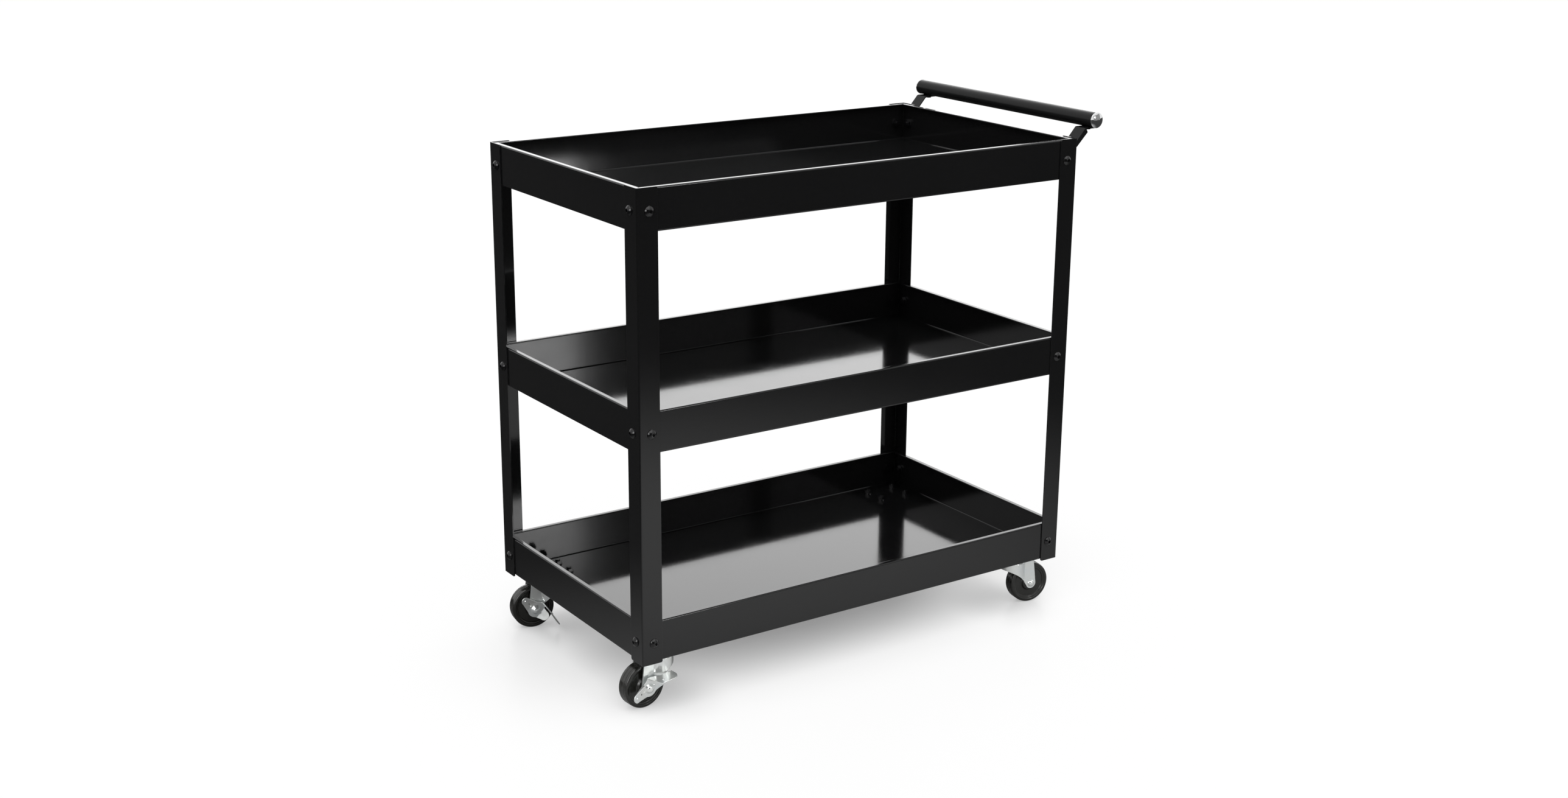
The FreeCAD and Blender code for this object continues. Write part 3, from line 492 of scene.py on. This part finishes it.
def floor_material(caster_places):
    """Lit paper in the cart's shadow, white away from it; reflections and bounce light see a painted pool of light
    in front and painted unlit floor elsewhere.
    """
    material = new_material("studio_floor_white")
    g = Graph(material)
    paper = g.node("BsdfPrincipled")
    paper.inputs["Base Color"].default_value = (0.95, 0.95, 0.95, 1.0)
    paper.inputs["Roughness"].default_value = 0.3
    paper.inputs["Specular IOR Level"].default_value = 0.1
    from_cart = distance_on_floor(g, SHADOW_CENTRE, SHADOW_REACH)
    whiteness = g.spread(from_cart, SHADOW_FADE, SHADOW_WHITENESS, "SMOOTHSTEP")
    for place in caster_places:
        from_caster = distance_on_floor(g, place, CASTER_REACH)
        share = g.spread(from_caster, CASTER_FADE, CASTER_WHITENESS, "SMOOTHSTEP")
        whiteness = g.math("MULTIPLY", whiteness, share)
    seen = g.blend(whiteness, paper.outputs["BSDF"], g.node("Emission").outputs["Emission"])
    # Painted pool of light in front and painted unlit floor around it, seen only by reflections and bounce light
    from_pool = distance_on_floor(g, POOL_CENTRE, POOL_REACH)
    painted_pool = g.spread(from_pool, POOL_FADE, (1.0, 0.0), "SMOOTHSTEP")
    reflected = g.diffuse(g.mix(painted_pool, (UNLIT_TONE,) * 3, (PAINTED_POOL_TONE,) * 3))
    g.surface(g.blend(g.node("LightPath").outputs["Is Camera Ray"], reflected, seen))
    return material


def build_floor(caster_places):
    bm = bmesh.new()
    bmesh.ops.create_grid(bm, x_segments=8, y_segments=8, size=FLOOR_HALF)
    add_mesh("studio_floor", bm, floor_material(caster_places))


def build_world():
    """A white surround that gives less light than it shows."""
    world = bpy.data.worlds.new("studio")
    bpy.context.scene.world = world
    world.use_nodes = True
    world.node_tree.nodes.clear()
    g = Graph(world)
    shades = []
    for strength in (WORLD_LIGHT, WORLD_SEEN):
        shade = g.node("Background")
        shade.inputs["Color"].default_value = (1.0, 1.0, 1.0, 1.0)
        shade.inputs["Strength"].default_value = strength
        shades.append(shade.outputs["Background"])
    path = g.node("LightPath")
    shown = g.math("MAXIMUM", path.outputs["Is Glossy Ray"], path.outputs["Is Transmission Ray"])
    shown = g.math("MAXIMUM", path.outputs["Is Camera Ray"], shown)
    g.surface(g.blend(shown, *shades), "OutputWorld")


def add_sun(name, direction, strength, angle):
    light = bpy.data.lights.new(name, "SUN")
    light.energy = strength
    light.angle = math.radians(angle)
    lamp = bpy.data.objects.new(name, light)
    lamp.rotation_euler = turned((0.0, 0.0, 0.0), direction)
    bpy.context.scene.collection.objects.link(lamp)


def add_softbox(name, place, target, width, height, power):
    """A soft lamp that only reflections see."""
    light = bpy.data.lights.new(name, "AREA")
    light.shape = "RECTANGLE"
    light.size = width
    light.size_y = height
    light.energy = power
    lamp = bpy.data.objects.new(name, light)
    lamp.location = place
    lamp.rotation_euler = turned(target, place)
    lamp.visible_camera = False
    lamp.visible_diffuse = False
    bpy.context.scene.collection.objects.link(lamp)


def add_card(name, place, target, width, height, grey):
    """A matt card that only reflections see, for the unlit side of the studio before the cart."""
    material = new_material(name + "_cloth")
    g = Graph(material)
    g.surface(g.diffuse(grey))
    bm = bmesh.new()
    bmesh.ops.create_grid(bm, x_segments=1, y_segments=1, size=0.5)
    card = add_mesh(name, bm, material)
    card.scale = (width, height, 1.0)
    card.location = place
    card.rotation_euler = turned(place, target)
    card.visible_camera = False
    card.visible_diffuse = False
    card.visible_shadow = False


def build_lights():
    middle = (0.0, 0.0, 0.5)
    add_sun("overhead_sky", direction=(-0.2, -0.25, 1.0), strength=1.25, angle=70.0)
    add_softbox("back_softbox", (6.8, 9.9, 4.4), middle, width=13.0, height=6.5, power=350.0)
    add_softbox("left_softbox", (-3.2, -1.6, 1.6), (0.0, 0.0, 0.3), width=1.2, height=1.6, power=30.0)
    add_softbox("front_softbox", (1.33, -3.25, 1.5), (0.0, 0.0, 0.6), width=0.4, height=0.4, power=10.0)
    add_card("camera_side_flag", (-3.0, -4.4, 2.1), middle, width=5.0, height=3.4, grey=0.02)
    add_card("front_right_flag", (3.3, -4.6, 1.6), middle, width=5.6, height=2.8, grey=0.9)


def build_camera():
    data = bpy.data.cameras.new("camera")
    data.sensor_fit = "HORIZONTAL"
    data.sensor_width = CAMERA_SENSOR
    data.lens = CAMERA_LENS
    data.clip_end = CAMERA_FAR
    camera = bpy.data.objects.new("camera", data)
    bpy.context.scene.collection.objects.link(camera)
    right, up, back = Vector(CAMERA_RIGHT), Vector(CAMERA_UP), -Vector(CAMERA_AHEAD)
    turn = Matrix((right, up, back)).transposed().to_4x4()
    camera.matrix_world = Matrix.Translation(Vector(CAMERA_PLACE)) @ turn
    bpy.context.scene.camera = camera


def joints_named(start, end):
    """The frame's joints between two parts of a name, by the part between them."""
    named = {}
    for joint in frame["joints"]:
        name = joint["name"]
        if name.startswith(start) and name.endswith(end):
            named[name.removeprefix(start).removesuffix(end)] = joint
    return named


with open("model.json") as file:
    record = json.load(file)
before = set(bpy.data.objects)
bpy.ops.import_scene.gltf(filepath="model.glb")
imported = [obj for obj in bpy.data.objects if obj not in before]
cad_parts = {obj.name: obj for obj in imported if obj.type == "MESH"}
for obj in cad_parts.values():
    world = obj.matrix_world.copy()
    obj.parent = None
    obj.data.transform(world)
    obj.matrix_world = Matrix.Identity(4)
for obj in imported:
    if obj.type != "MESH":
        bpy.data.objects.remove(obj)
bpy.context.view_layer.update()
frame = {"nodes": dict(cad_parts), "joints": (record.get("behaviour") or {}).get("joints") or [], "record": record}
bpy.context.scene.view_settings.view_transform = "Standard"

glossy = {"Specular IOR Level": 0.28, "Coat Weight": 0.32, "Coat Roughness": 0.06}
satin = {"Specular IOR Level": 0.12, "Coat Weight": 0.12, "Coat Roughness": 0.25}
finishes = {
    "black_frame": powder_coat("black_powder_coat", (0.07, 0.12), glossy),
    "black_fastener": black_steel(),
    "zinc_steel": zinc_plate(),
    "chrome_cap": chrome(),
}
slots = {s["node"]: s["material_slot"] for s in frame["record"]["subparts"]}
for node, piece in frame["nodes"].items():
    if slots[node] in finishes:
        piece.data.materials.clear()
        piece.data.materials.append(finishes[slots[node]])

handle_coat = powder_coat("black_satin_coat", (0.28, 0.36), satin)
for node in ("handle_tube", "handle_bracket_front", "handle_bracket_back"):
    frame["nodes"][node].data.materials[0] = handle_coat

for corner, joint in joints_named("wheel_", "_spin").items():
    build_wheel(corner, joint)
build_threads()
build_floor([joint["pos_m"] for joint in joints_named("swivel_", "_turn").values()])
build_world()
build_lights()
build_camera()
